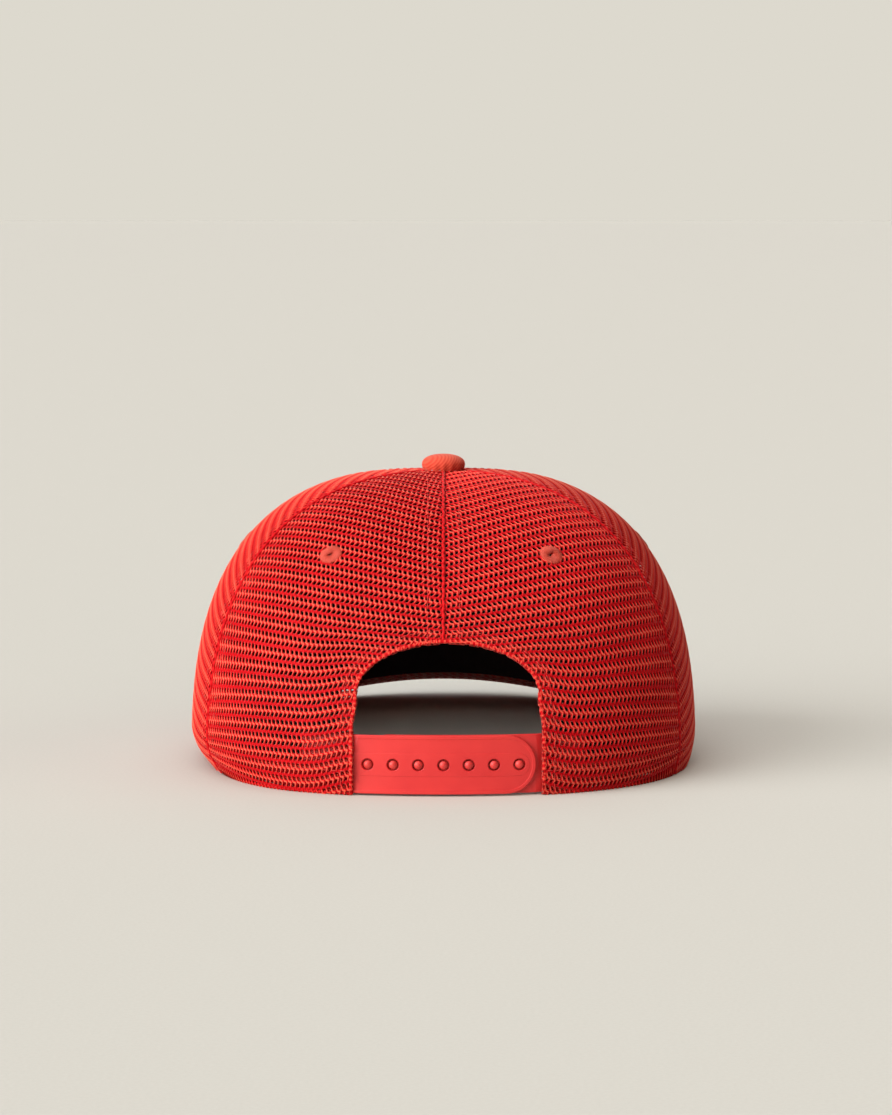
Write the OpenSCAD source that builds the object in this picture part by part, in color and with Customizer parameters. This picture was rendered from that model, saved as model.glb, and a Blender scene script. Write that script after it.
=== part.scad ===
// Trucker mesh cap: six-panel crown, curved brim and two-part snap strap.
// Millimetres. The brim points to -Y, the strap to +Y and the wearer's left is +X.
// Azimuths run from the back (+Y) towards the wearer's left (+X).

/* [Crown] */
// Half of the crown's width, side to side
crown_half_w = 88.6; // [80:0.1:96]
// Reach of the crown from its middle to the back
crown_back = 95; // [88:0.5:102]
// Reach of the crown from its middle to the front
crown_front = 97; // [90:0.5:104]
// Height of the crown's top above the table
crown_h = 101.6; // [92:0.1:112]
// Fullness of the rim's outline from above (2 is an ellipse)
plan_power = 2.34; // [2:0.01:2.6]
// Fullness of the upright profile at the sides
side_power = 2.74; // [2.2:0.1:3.2]
// Fullness of the upright profile at the back
back_power = 2; // [2:0.1:2.8]
// Fullness of the upright profile at the front
front_power = 2.8; // [2.2:0.1:3.2]
// How much each panel is flattened between its seams
panel_flat = 0.1; // [0:0.05:0.5]
// Inward tuck of the crown's rim
rim_tuck = 2.5; // [0:0.5:3]
// Extra tuck of the rim on the cap's left side
rim_tuck_left = 5; // [0:0.5:6]
// Height over which the rim tucks in
rim_tuck_h = 14; // [8:1:20]
// Rise of the rim above the table at the front
front_rise = 18; // [10:1:24]

/* [Fabric] */
// Thickness of the mesh
mesh_t = 0.8; // [0.5:0.1:1.2]
// Thickness of the solid front panels
front_t = 1.2; // [0.8:0.1:1.6]
// Thickness of hems, tapes, lining and covers
trim_t = 0.6; // [0.4:0.1:0.7]
// Width of the tape sewn over each seam
tape_w = 12; // [8:1:16]
// Height of the folded hem along the rim
hem_h = 10; // [6:1:14]
// Thickness of the sweatband
sweatband_t = 1.2; // [0.8:0.1:1.6]
// Height of the sweatband
sweatband_h = 37; // [25:1:38]

/* [Back opening] */
// Half of the width of the arch over the strap
arch_half_w = 30.2; // [29.5:0.1:32]
// Sideways offset of the arch from the back seam
arch_shift = -1.4; // [-1.5:0.1:0]
// Height of the arch's upright sides
arch_leg = 33.5; // [28:0.5:38]
// Height of the arch's curved top above its sides
arch_rise = 16.5; // [12:0.5:18]
// Width of the folded hem around the arch
arch_hem_w = 5; // [4:0.5:6]

/* [Brim] */
// Reach of the brim from the crown's middle to its front edge
brim_front = 165; // [155:1:175]
// Half of the brim's width
brim_half_w = 85; // [82:1:90]
// Height of the brim's underside at the middle of its front edge
brim_edge_z = 6.2; // [4:0.1:12]
// Thickness of the stiff board inside the brim
board_t = 2; // [1.5:0.1:2.6]

/* [Snap strap] */
// Height of both straps
strap_h = 19.6; // [18:0.1:20]
// Thickness of both straps
strap_t = 1.2; // [1:0.1:1.3]
// Distance between snap pegs
peg_pitch = 8.35; // [8:0.05:8.4]
// Number of snap pegs
peg_count = 7; // [5:2:7]
// Diameter of the holes that the pegs go through
hole_d = 3.9; // [3.8:0.1:4]
// Diameter of a peg's shank
peg_d = 2.7; // [2.4:0.1:2.8]

/* [Button and eyelets] */
// Radius of the covered button on top
button_r = 7.6; // [7:0.1:8]
// Height of the button's top above the table
button_top = 107.4; // [107:0.1:108]
// Height of the stitched eyelets above the table
eyelet_z = 77; // [70:1:84]
// Angle of the left rear eyelet from the middle of the back
eyelet_rear_left_az = 34; // [28:0.5:38]
// Angle of the right rear eyelet from the middle of the back
eyelet_rear_right_az = 32.5; // [28:0.5:38]
// Outer radius of a stitched eyelet
eyelet_r = 3.9; // [3:0.1:4]

/* [Hidden] */

$fn = 64;
RED = [0.77, 0.16, 0.16];
BLACK = [0.06, 0.05, 0.05];
MAROON = [0.3, 0.09, 0.08];
STRAP_RED = [0.86, 0.24, 0.22];

gap = 0.1;
hair = 0.2;
button_hole_r = 3.5;
seam_step = 60;
front_arc = 80;
left_mid = 74;
left_reach = 40;
$hand = 1;
brim_arc = 70;
brim_root_y = 30;
brim_power = 2.4;
brim_flat_x = 76;
cover_t = 0.5;
fold_share = 0.96;

// Layers of the crown wall, as offsets from its outer face
hem_off = -mesh_t - 0.3;
lining_off = -front_t - 0.4;
tape_off = lining_off - trim_t - 0.4;
left_root_off = hem_off - trim_t - gap;
right_root_off = left_root_off - strap_t - 0.5;
sweatband_off = right_root_off - strap_t - gap;

// Strap layout
strap_bend_r = 150;
strap_z = 0.7;
strap_face_y = 92;
strap_gap = 0.35;
left_pivot_x = 27.5;
right_pivot_x = -29.6;
hole_strap_end_x = -30.6;
peg_strap_end_x = 27.9;
left_root_clearance = 1.9;
right_root_clearance = 2.5;
root_reach = 47;
peg_dome_r = 1.6;
peg_dome_drop = 0.85;
peg_root = 0.3;
inner_face_y = strap_face_y - strap_t - strap_gap;
inner_bend_r = strap_bend_r - strap_t - strap_gap;
peg_reach = strap_gap + strap_t + 0.12;
peg_tip_y = inner_face_y + peg_reach + peg_dome_r - peg_dome_drop;

// ---- Crown surface -------------------------------------------------------

function plan_r(az, off) =
    let (depth = (cos(az) > 0 ? crown_back : crown_front) + off,
         across = abs(sin(az)) / (crown_half_w + off),
         along = abs(cos(az)) / depth)
    pow(pow(across, plan_power) + pow(along, plan_power), -1 / plan_power);

function seam_facet(az) =
    cos(seam_step / 2) / cos((az + 6 * seam_step) % seam_step - seam_step / 2);

function profile_power(az) =
    side_power + ((cos(az) > 0 ? back_power : front_power) - side_power) * pow(cos(az), 2);

// Share of the extra tuck, which fades out to both sides of the azimuth left_mid;
// a piece drawn as a mirror image sets $hand to -1
function left_share(az) =
    pow(cos(min(90, abs(az * $hand - left_mid) * 90 / left_reach)), 1.5);

// Point of the crown at azimuth az and lift t (0 at the rim, 90 at the top)
function crown(az, t, off = 0) =
    let (power = 2 / profile_power(az),
         z = (crown_h + off) * pow(sin(t), power),
         flat = 1 - panel_flat * sin(t) * (1 - seam_facet(az)),
         deep = rim_tuck + rim_tuck_left * left_share(az),
         tuck = deep * pow(max(0, 1 - z / rim_tuck_h), 2),
         r = plan_r(az, off) * flat * pow(cos(t), power) - tuck)
    [r * sin(az), r * cos(az), z];

// Outward direction square to the crown
function crown_normal(az, t) =
    let (along = crown(az + 1, t) - crown(az - 1, t),
         up = crown(az, t + 1) - crown(az, t - 1),
         n = cross(up, along))
    n / norm(n);

function lift_at_height(az, z) = asin(pow(max(z, 0) / crown_h, profile_power(az) / 2));

function lift_at_radius(az, r) = acos(pow(r / plan_r(az, 0), profile_power(az) / 2));

// Half angle that covers half_w millimetres to one side of a seam
function half_angle(az, t, half_w) =
    let (p = crown(az, t), r = norm([p.x, p.y])) asin(min(1, half_w / r));

// Azimuth and lift of the wall point that has the given x and z, at the back
function wall_at(x, z, az = 0, tries = 6) =
    let (t = lift_at_height(az, z), p = crown(az, t))
    tries == 0 ? [az, t] : wall_at(x, z, asin(x / norm([p.x, p.y])), tries - 1);

// Height of the rim, which lifts towards the front
function rim_z(az) =
    let (from_front = abs(180 - (az + 360) % 360))
    front_rise * pow(cos(90 * min(1, from_front / front_arc)), 2);

function mix(a, b, share) = a + (b - a) * share;

// Rows of a panel lie closer together near the rim, where the wall tucks in
row_crowding = 1.7;
function panel_lift(low, high, v) = mix(low, high, pow(v, row_crowding));

// ---- Shell builder -------------------------------------------------------

// Closed solid between two grids of points, outer and inner
module grid_solid(outer, inner) {
    nu = len(outer) - 1;
    nv = len(outer[0]) - 1;
    row = nv + 1;
    side = (nu + 1) * row;
    points = concat([for (line = outer) each line], [for (line = inner) each line]);
    face_quads = [for (i = [0:nu - 1], j = [0:nv - 1])
        let (a = i * row + j) [a, a + row, a + row + 1, a + 1]];
    back_quads = [for (q = face_quads) [q[3] + side, q[2] + side, q[1] + side, q[0] + side]];
    low_high = [for (i = [0:nu - 1]) each [
        [i * row, i * row + side, (i + 1) * row + side, (i + 1) * row],
        [i * row + nv, (i + 1) * row + nv, (i + 1) * row + nv + side, i * row + nv + side]]];
    end = nu * row;
    ends = [for (j = [0:nv - 1]) each [
        [j, j + 1, j + 1 + side, j + side],
        [end + j, end + j + side, end + j + 1 + side, end + j + 1]]];
    quads = concat(face_quads, back_quads, low_high, ends);
    polyhedron(points, [for (q = quads) each [[q[0], q[1], q[2]], [q[0], q[2], q[3]]]]);
}

// Piece of the crown wall: where(u, v) gives azimuth and lift for u and v from 0 to 1
module wall_piece(where, off, thickness, nu, nv) {
    outer = [for (i = [0:nu]) [for (j = [0:nv])
        let (w = where(i / nu, j / nv)) crown(w[0], w[1], off)]];
    inner = [for (i = [0:nu]) [for (j = [0:nv])
        let (w = where(i / nu, j / nv)) crown(w[0], w[1], off - thickness)]];
    grid_solid(outer, inner);
}

// Moves the part so that its box, from the brim's edge to the peg tips, is centred
module placed() {
    translate([0, (brim_front - peg_tip_y) / 2, 0]) children();
}

// ---- Crown panels --------------------------------------------------------

// Azimuth and lift inside a whole panel whose first seam is at az_start
function panel_where(az_start) = function (u, v)
    let (az_mid = az_start + seam_step * u,
         t = panel_lift(lift_at_height(az_mid, rim_z(az_mid)),
             lift_at_radius(az_mid, button_hole_r), v),
         edge = half_angle(az_mid, t, gap / 2))
    [mix(az_start + edge, az_start + seam_step - edge, u), t];

module whole_panel(az_start, thickness) {
    wall_piece(panel_where(az_start), 0, thickness, 14, 16);
}

// Outline of the arch, from the seam to the rim: along runs from 0 to 1
arch_crest_share = 0.7;
function arch_outline(along, shift) =
    let (start = acos(-shift / arch_half_w))
    along < arch_crest_share
        ? let (a = start * (1 - along / arch_crest_share))
          [shift + arch_half_w * cos(a), arch_leg + arch_rise * sin(a)]
        : [shift + arch_half_w, arch_leg * (1 - along) / (1 - arch_crest_share)];

// Rear panel for azimuths above 0, with its share of the arch cut away
arch_share = 0.6;
function rear_bottom(u, shift) =
    let (leg = wall_at(shift + arch_half_w, 0))
    u <= arch_share
        ? let (p = arch_outline(u / arch_share, shift)) wall_at(p.x, p.y)
        : [mix(leg[0], seam_step, (u - arch_share) / (1 - arch_share)), 0];

function rear_where(shift) = function (u, v)
    let (low = rear_bottom(u, shift),
         az_top = seam_step * u,
         az_high = mix(low[0], az_top, v),
         t = panel_lift(low[1], lift_at_radius(az_top, button_hole_r), v),
         edge = half_angle(az_high, t, gap / 2))
    [min(seam_step - edge, max(edge, az_high)), t];

module rear_panel(shift) {
    wall_piece(rear_where(shift), 0, mesh_t, 36, 14);
}

module front_panel_left() {
    color(RED) placed() whole_panel(120, front_t);
}

module front_panel_right() {
    color(RED) placed() whole_panel(180, front_t);
}

module side_mesh_left() {
    color(RED) placed() whole_panel(60, mesh_t);
}

module side_mesh_right() {
    color(RED) placed() whole_panel(240, mesh_t);
}

module rear_mesh_left() {
    color(RED) placed() rear_panel(arch_shift);
}

module rear_mesh_right() {
    $hand = -1;
    color(RED) placed() mirror([1, 0, 0]) rear_panel(-arch_shift);
}

// ---- Lining, tapes, hems and sweatband ------------------------------------

module front_lining() {
    where = function (u, v)
        let (az = mix(121, 239, u))
        [az, mix(lift_at_height(az, rim_z(az) + 1), lift_at_radius(az, 6), v)];
    color(BLACK) placed() wall_piece(where, lining_off, trim_t, 24, 16);
}

// Tape over the seam at azimuth az, from height low_z to the button
module seam_tape(az, low_z) {
    where = function (u, v)
        let (t = mix(lift_at_height(az, low_z), lift_at_radius(az, 5), v),
             half = min(seam_step / 2 - 1, half_angle(az, t, tape_w / 2)))
        [az + half * (2 * u - 1), t];
    color(BLACK) placed() wall_piece(where, tape_off, trim_t - gap, 4, 14);
}

module seam_tape_front() {
    seam_tape(180, front_rise + 1);
}

module seam_tape_front_left() {
    seam_tape(120, rim_z(120) + 1);
}

module seam_tape_front_right() {
    seam_tape(240, rim_z(240) + 1);
}

module seam_tape_side_left() {
    seam_tape(60, 1);
}

module seam_tape_side_right() {
    seam_tape(300, 1);
}

module seam_tape_rear() {
    seam_tape(0, arch_leg + arch_rise + 1);
}

// Folded hem on the left half of the rim, from the arch's hem to the front panel
function rim_hem_where(shift) = function (u, v)
    let (start = wall_at(shift + arch_half_w + arch_hem_w + gap, 0)[0],
         az = mix(start, 119, u),
         low = rim_z(az))
    [az, mix(lift_at_height(az, low), lift_at_height(az, low + hem_h), v)];

module rim_hem_left() {
    color(RED) placed() wall_piece(rim_hem_where(arch_shift), hem_off, trim_t, 24, 2);
}

module rim_hem_right() {
    $hand = -1;
    color(RED) placed() mirror([1, 0, 0])
        wall_piece(rim_hem_where(-arch_shift), hem_off, trim_t, 24, 2);
}

// Hem around the arch: u runs from the right foot over the top to the left foot
function arch_hem_where() = function (u, v)
    let (grow = arch_hem_w * v,
         side = u < 0.5 ? -1 : 1,
         along = abs(2 * u - 1),
         leg_part = max(0, (along - arch_crest_share) / (1 - arch_crest_share)),
         a = 90 * (1 - min(1, along / arch_crest_share)),
         x = arch_shift + side * (arch_half_w + grow) * cos(a),
         z = leg_part > 0 ? arch_leg * (1 - leg_part)
             : arch_leg + (arch_rise + grow) * sin(a))
    wall_at(x, z);

module arch_hem() {
    color(RED) placed() wall_piece(arch_hem_where(), hem_off, trim_t, 40, 2);
}

module sweatband() {
    start = wall_at(root_reach - 12, 0)[0];
    where = function (u, v)
        let (az = mix(start, 360 - start, u),
             low = rim_z(az) + 0.5)
        [az, mix(lift_at_height(az, low), lift_at_height(az, low + sweatband_h), v)];
    color(BLACK) placed() wall_piece(where, sweatband_off, sweatband_t, 56, 4);
}

// ---- Brim ------------------------------------------------------------------

function brim_edge(u) =
    let (a = 90 * (2 * u - 1), power = 2 / brim_power)
    [-sign(sin(a)) * brim_half_w * pow(abs(sin(a)), power),
     -brim_root_y - (brim_front - brim_root_y) * pow(cos(a), power)];

// Underside of the brim: u runs from side to side, v from the crown to the front edge
function brim_point(u, v, lift) =
    let (az = 180 + brim_arc * (2 * u - 1),
         root = crown(az, lift_at_height(az, rim_z(az)), hair),
         edge = brim_edge(u),
         edge_z = mix(0.5, brim_edge_z, pow(cos(90 * min(1, abs(edge.x) / brim_flat_x)), 2)))
    [mix(root.x, edge.x, v), mix(root.y, edge.y, v), mix(rim_z(az) + 0.1, edge_z, v) + lift];

module brim_layer(low, high, v_start, v_end, nv) {
    nu = 40;
    under = [for (i = [0:nu]) [for (j = [0:nv])
        brim_point(i / nu, mix(v_start, v_end, j / nv), low)]];
    top = [for (i = [0:nu]) [for (j = [0:nv])
        brim_point(i / nu, mix(v_start, v_end, j / nv), high)]];
    grid_solid(under, top);
}

module brim_under_cover() {
    color(MAROON) placed() brim_layer(0, cover_t, 0, 1, 8);
}

module brim_board() {
    color("gray") placed()
        brim_layer(cover_t + gap, cover_t + gap + board_t, 0, fold_share, 8);
}

module brim_edge_fold() {
    color(RED) placed()
        brim_layer(cover_t + gap, cover_t + gap + board_t, fold_share + 0.01, 1, 1);
}

module brim_top_cover() {
    low = cover_t + board_t + 2 * gap;
    color(RED) placed() brim_layer(low, low + cover_t, 0, 1, 8);
}

// ---- Button and eyelets ----------------------------------------------------

button_foot = crown_h + 0.3;
button_dome_h = 4.2;
button_skin = 0.6;

module button_dome(shrink) {
    r = button_r - shrink;
    dome_r = (pow(button_r, 2) + pow(button_dome_h, 2)) / (2 * button_dome_h);
    intersection() {
        translate([0, 0, button_foot]) cylinder(r = r, h = button_top - button_foot);
        translate([0, 0, button_top - dome_r]) sphere(r = dome_r - shrink);
    }
}

module button_cover() {
    color([0.85, 0.36, 0.26]) placed() difference() {
        button_dome(0);
        button_dome(button_skin);
    }
}

module button_core() {
    color("silver") placed() difference() {
        button_dome(button_skin + gap);
        translate([0, 0, button_foot - 1]) cylinder(r = 2.5, h = 3);
    }
}

module button_stem() {
    washer_top = crown_h + tape_off - trim_t - 0.5;
    color("silver") placed() {
        translate([0, 0, washer_top - 1]) cylinder(r = 6, h = 1);
        translate([0, 0, washer_top]) cylinder(r = 2.3, h = button_foot + 1.9 - washer_top);
    }
}

module eyelet(az) {
    t = lift_at_height(az, eyelet_z);
    n = crown_normal(az, t);
    ring_r = eyelet_r / 4;
    color([0.85, 0.36, 0.3]) placed() translate(crown(az, t) + 0.25 * n)
        rotate([0, 0, -atan2(n.x, n.y)]) rotate([asin(n.z) - 90, 0, 0])
        rotate_extrude() translate([eyelet_r - ring_r, 0]) intersection() {
            circle(r = ring_r);
            translate([-ring_r, 0]) square([2 * ring_r, ring_r]);
        }
}

module eyelet_rear_left() {
    eyelet(eyelet_rear_left_az);
}

module eyelet_side_left() {
    eyelet(seam_step * 1.5);
}

module eyelet_front_left() {
    eyelet(seam_step * 2.5);
}

module eyelet_front_right() {
    eyelet(seam_step * 3.5);
}

module eyelet_side_right() {
    eyelet(seam_step * 4.5);
}

module eyelet_rear_right() {
    eyelet(360 - eyelet_rear_right_az);
}

// ---- Snap strap --------------------------------------------------------------

// Bent band whose outer face is at face_y in the middle, between two x values;
// the end on the side of round_end is a half circle
module strap_band(face_y, bend_r, pivot_x, end_x) {
    inward = sign(pivot_x - end_x);
    round_x = end_x + inward * strap_h / 2;
    mid_z = strap_z + strap_h / 2;
    intersection() {
        translate([0, face_y - bend_r, 0]) difference() {
            cylinder(r = bend_r, h = 2 * strap_h, $fn = 200);
            translate([0, 0, -1]) cylinder(r = bend_r - strap_t, h = 2 * strap_h + 2, $fn = 200);
        }
        translate([0, face_y + 10, 0]) rotate([90, 0, 0]) linear_extrude(30) union() {
            translate([min(pivot_x, round_x), strap_z]) square([abs(pivot_x - round_x), strap_h]);
            translate([round_x, mid_z]) circle(d = strap_h);
        }
    }
}

function peg_x(i) = (i - (peg_count - 1) / 2) * peg_pitch;
function bend_drop(x, bend_r) = bend_r - sqrt(bend_r * bend_r - x * x);

module hole_strap() {
    color(STRAP_RED) placed() difference() {
        strap_band(strap_face_y, strap_bend_r, left_pivot_x, hole_strap_end_x);
        for (i = [0:peg_count - 1])
            translate([peg_x(i), strap_face_y + 5, strap_z + strap_h / 2])
                rotate([90, 0, 0]) cylinder(d = hole_d, h = 15);
    }
}

module peg_strap() {
    color(STRAP_RED) placed()
        strap_band(inner_face_y, inner_bend_r, right_pivot_x, peg_strap_end_x);
}

// Each peg is rooted in the inner band and ends in a dome past the outer strap
module snap_pegs() {
    color([0.9, 0.3, 0.27]) placed() for (i = [0:peg_count - 1]) {
        foot_y = inner_face_y - bend_drop(peg_x(i), inner_bend_r) - peg_root;
        translate([peg_x(i), foot_y, strap_z + strap_h / 2]) rotate([-90, 0, 0]) union() {
            cylinder(d = peg_d, h = peg_reach + peg_root);
            translate([0, 0, peg_reach + peg_root]) intersection() {
                cylinder(d = peg_d + 0.2, h = 2);
                translate([0, 0, -peg_dome_drop]) sphere(r = peg_dome_r);
            }
        }
    }
}

// Sewn root of a strap behind the mesh, on the side above azimuth 0
function root_where(x_start) = function (u, v)
    wall_at(mix(x_start, root_reach, u), strap_z + strap_h * v);

module strap_root_left() {
    color(STRAP_RED) placed()
        wall_piece(root_where(left_pivot_x + left_root_clearance), left_root_off, strap_t, 8, 4);
}

module strap_root_right() {
    color(STRAP_RED) placed() mirror([1, 0, 0])
        wall_piece(root_where(right_root_clearance - right_pivot_x), right_root_off, strap_t, 8, 4);
}

front_panel_left();
front_panel_right();
side_mesh_left();
side_mesh_right();
rear_mesh_left();
rear_mesh_right();
front_lining();
seam_tape_front();
seam_tape_front_left();
seam_tape_front_right();
seam_tape_side_left();
seam_tape_side_right();
seam_tape_rear();
rim_hem_left();
rim_hem_right();
arch_hem();
sweatband();
brim_under_cover();
brim_board();
brim_edge_fold();
brim_top_cover();
button_cover();
button_core();
button_stem();
eyelet_front_left();
eyelet_front_right();
eyelet_side_left();
eyelet_side_right();
eyelet_rear_left();
eyelet_rear_right();
strap_root_left();
strap_root_right();
hole_strap();
peg_strap();
snap_pegs();
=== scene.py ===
import math

import bmesh
import bpy
import numpy as np
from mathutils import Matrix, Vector


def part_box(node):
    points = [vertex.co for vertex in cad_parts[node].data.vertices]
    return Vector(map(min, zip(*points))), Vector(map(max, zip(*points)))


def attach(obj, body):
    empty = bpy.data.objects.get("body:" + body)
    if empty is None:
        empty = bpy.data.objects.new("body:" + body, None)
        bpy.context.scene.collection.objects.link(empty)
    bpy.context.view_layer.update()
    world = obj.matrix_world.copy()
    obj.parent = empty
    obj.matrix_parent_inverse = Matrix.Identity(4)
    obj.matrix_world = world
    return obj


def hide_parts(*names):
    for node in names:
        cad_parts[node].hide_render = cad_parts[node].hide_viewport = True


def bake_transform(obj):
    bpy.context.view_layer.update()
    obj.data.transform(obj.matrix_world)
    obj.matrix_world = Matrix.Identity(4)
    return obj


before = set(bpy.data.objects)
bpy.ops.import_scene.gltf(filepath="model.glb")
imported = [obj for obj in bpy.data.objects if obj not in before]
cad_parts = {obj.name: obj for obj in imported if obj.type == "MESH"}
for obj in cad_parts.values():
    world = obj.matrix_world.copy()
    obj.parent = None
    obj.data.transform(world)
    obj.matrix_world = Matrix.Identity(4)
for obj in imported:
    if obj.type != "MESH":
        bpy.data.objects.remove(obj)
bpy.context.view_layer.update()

# ---- Sizes, in millimetres ----
# The crown is worked out about its own upright axis, which passes through the
# button, with +Y to the back; to_world() moves it into the frame.

MM = 0.001
AXIS_Y = float((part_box("button_cover")[0].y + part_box("button_cover")[1].y) / 2 / MM)

HALF_W = 88.6
BACK = 95.0
FRONT = 97.0
TOP = float(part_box("rear_mesh_left")[1].z / MM)
PLAN_POWER = 2.34
SIDE_POWER = 2.74
BACK_POWER = 2.0
FRONT_POWER = 2.8
PANEL_FLAT = 0.1
RIM_TUCK = 2.5
RIM_TUCK_LEFT = 5.0
LEFT_MID = 74.0
LEFT_REACH = 40.0
RIM_TUCK_H = 14.0
FRONT_RISE = 18.0
FRONT_ARC = 80.0

ARCH_X = -1.4
ARCH_HALF_W = 30.2
ARCH_LEG = 33.5
ARCH_RISE = 16.5
ARCH_FLARE = 1.3
ARCH_HEM_W = 5.0
RIM_HEM_H = 10.0
HEM_STRIP = 10.0

ROW_PITCH = 2.33
HOLE_PITCH = 1.77
HOLE_W = 1.05
HOLE_H = 1.22
HOLE_SINK = 0.12
CELL_LEG = 0.45
RIB_PROUD = 0.46
RIB_SHOULDER = 0.45
MESH_BACK = 0.22
STRAND_SWAY = 0.26
HEM_OFF = -1.1
HEM_SHIFT = (0.5, 0.9)
SEAM_EASE = 0.25
SEAM_SINK = 0.35
SEAM_SINK_W = 0.9
CROWN_HOLE_R = 5.0
PULL_INNER_X = 29.0
PULL_OUTER_X = 50.0
PULL_UP = 3.2
SIDE_GRAIN = math.radians(16)

EYELET_Z = 77.0
EYELETS = {"rear_left": 34, "side_left": 90, "front_left": 150,
           "front_right": 210, "side_right": 270, "rear_right": 327.5}
EYELET_R = 3.9
EYELET_HOLE = 0.35
EYELET_CUT_R = 2.3
BUTTON_DISC = 24.0

CLOTH_T = 1.1
LINING_T = 0.55
LINING_OFF = -1.6
TAPE_OFF = -2.6
TAPE_T = 0.5
TAPE_HALF_W = 6.0
SWEATBAND_T = 1.2
SWEATBAND_OFF = -4.8
SWEATBAND_H = 37.5

STITCH_PITCH = 2.9
STITCH_RAISED = 0.2
SEAM_STITCH = 5.3
ARCH_STITCH = 3.9
RIM_STITCH_Z = 8.4
FOLD_STEP = 0.45
RIDGE_STEP = 0.4

BRIM_FRONT = 165.0
BRIM_HALF_W = 85.0
BRIM_ARC = 70.0
BRIM_ROOT_Y = 30.0
BRIM_POWER = 2.4
BRIM_EDGE_Z = 6.2
BRIM_FLAT_X = 76.0
BRIM_T = 3.2
BRIM_COVER_T = 0.5
BRIM_FOLD_R = 0.9
BRIM_ROWS = 7
BRIM_ROW_FIRST = 5.0
BRIM_ROW_STEP = 7.6

STRAP_FACE_Y = 92.0
STRAP_BEND_R = 150.0
STRAP_T = 1.2
STRAP_GAP = 0.35
STRAP_LOW = 0.7
STRAP_H = 19.6
STRAP_MID = STRAP_LOW + STRAP_H / 2
STRAP_TURN = 2.2
LEFT_PIVOT_X = 27.5
RIGHT_PIVOT_X = -29.6
PIVOT_IN = 3.0
HOLE_STRAP_END = -30.6
PEG_STRAP_END = 27.9
ROOT_REACH = 47.0
PEG_PITCH = 8.35
PEG_COUNT = 7
HOLE_D = 3.9
RAIL_HALF_H = 3.8


def to_world(points):
    out = np.array(points, float)
    out[..., 1] += AXIS_Y
    return out * MM


def unit(vectors):
    return vectors / np.linalg.norm(vectors, axis=-1, keepdims=True)


def smooth(x):
    x = np.clip(x, 0, 1)
    return x * x * (3 - 2 * x)


# ---- Crown surface ----


def plan_radius(az, off):
    depth = np.where(np.cos(az) > 0, BACK, FRONT) + off
    across = np.abs(np.sin(az)) / (HALF_W + off)
    along = np.abs(np.cos(az)) / depth
    return (across**PLAN_POWER + along**PLAN_POWER) ** (-1 / PLAN_POWER)


def seam_facet(az):
    step = math.radians(60)
    return math.cos(step / 2) / np.cos(np.mod(az, step) - step / 2)


def profile_power(az):
    ends = np.where(np.cos(az) > 0, BACK_POWER, FRONT_POWER)
    return SIDE_POWER + (ends - SIDE_POWER) * np.cos(az) ** 2


def wall_radius(az, z, off=0.0):
    power = profile_power(az)
    share = np.clip(z / (TOP + off), 0, 1)
    sin_t = share ** (power / 2)
    cos_t = np.sqrt(np.maximum(0, 1 - sin_t**2))
    flat = 1 - PANEL_FLAT * sin_t * (1 - seam_facet(az))
    away = np.abs(np.degrees(az) - LEFT_MID) / LEFT_REACH
    left = np.cos(math.pi / 2 * np.minimum(1, away)) ** 1.5
    tuck = (RIM_TUCK + RIM_TUCK_LEFT * left) * np.maximum(0, 1 - np.maximum(z, 0) / RIM_TUCK_H) ** 2
    return plan_radius(az, off) * flat * cos_t ** (2 / power) - tuck


def wall_point(az, z, off=0.0):
    az, z = np.broadcast_arrays(np.asarray(az, float), np.asarray(z, float))
    r = wall_radius(az, z, off)
    return np.stack([r * np.sin(az), r * np.cos(az), z], -1)


def wall_normal(az, z):
    """Outward unit normal of the crown where it is at azimuth az and height z."""
    step = 0.002
    z = np.minimum(z, TOP * 0.9995)
    d_az = wall_point(az + step, z) - wall_point(az - step, z)
    d_z = wall_point(az, z + 0.02) - wall_point(az, np.maximum(z - 0.02, 0))
    return unit(np.cross(d_z, d_az))


def rim_height(az):
    from_front = np.abs(math.pi - np.mod(az, 2 * math.pi))
    return FRONT_RISE * np.cos(math.pi / 2 * np.minimum(1, from_front / math.radians(FRONT_ARC))) ** 2


def azimuth_at(x, z):
    """Azimuth of the back wall's point that has the given x and z."""
    az = np.zeros_like(np.asarray(x, float))
    for _ in range(8):
        az = np.arcsin(np.clip(x / wall_radius(az, z), -0.999, 0.999))
    return az


def height_at_radius(azs, r):
    """Height where the crown has horizontal radius r."""
    low, high = np.full_like(azs, TOP * 0.5), np.full_like(azs, TOP)
    for _ in range(40):
        mid = (low + high) / 2
        wide = wall_radius(azs, mid) > r
        low, high = np.where(wide, mid, low), np.where(wide, high, mid)
    return (low + high) / 2


def heights_up_to(low, short, count):
    """Heights from low to just short of the crown's top, closer together near it."""
    return TOP * np.sin(np.linspace(math.asin(low / TOP), math.pi / 2 - short, count))


# ---- Materials ----


def srgb(*rgb):
    share = [c / 255 for c in rgb]
    return tuple(c / 12.92 if c <= 0.04045 else ((c + 0.055) / 1.055) ** 2.4 for c in share) + (1.0,)


SHEEN_TINT = (1.0, 0.5, 0.4, 1.0)


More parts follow.
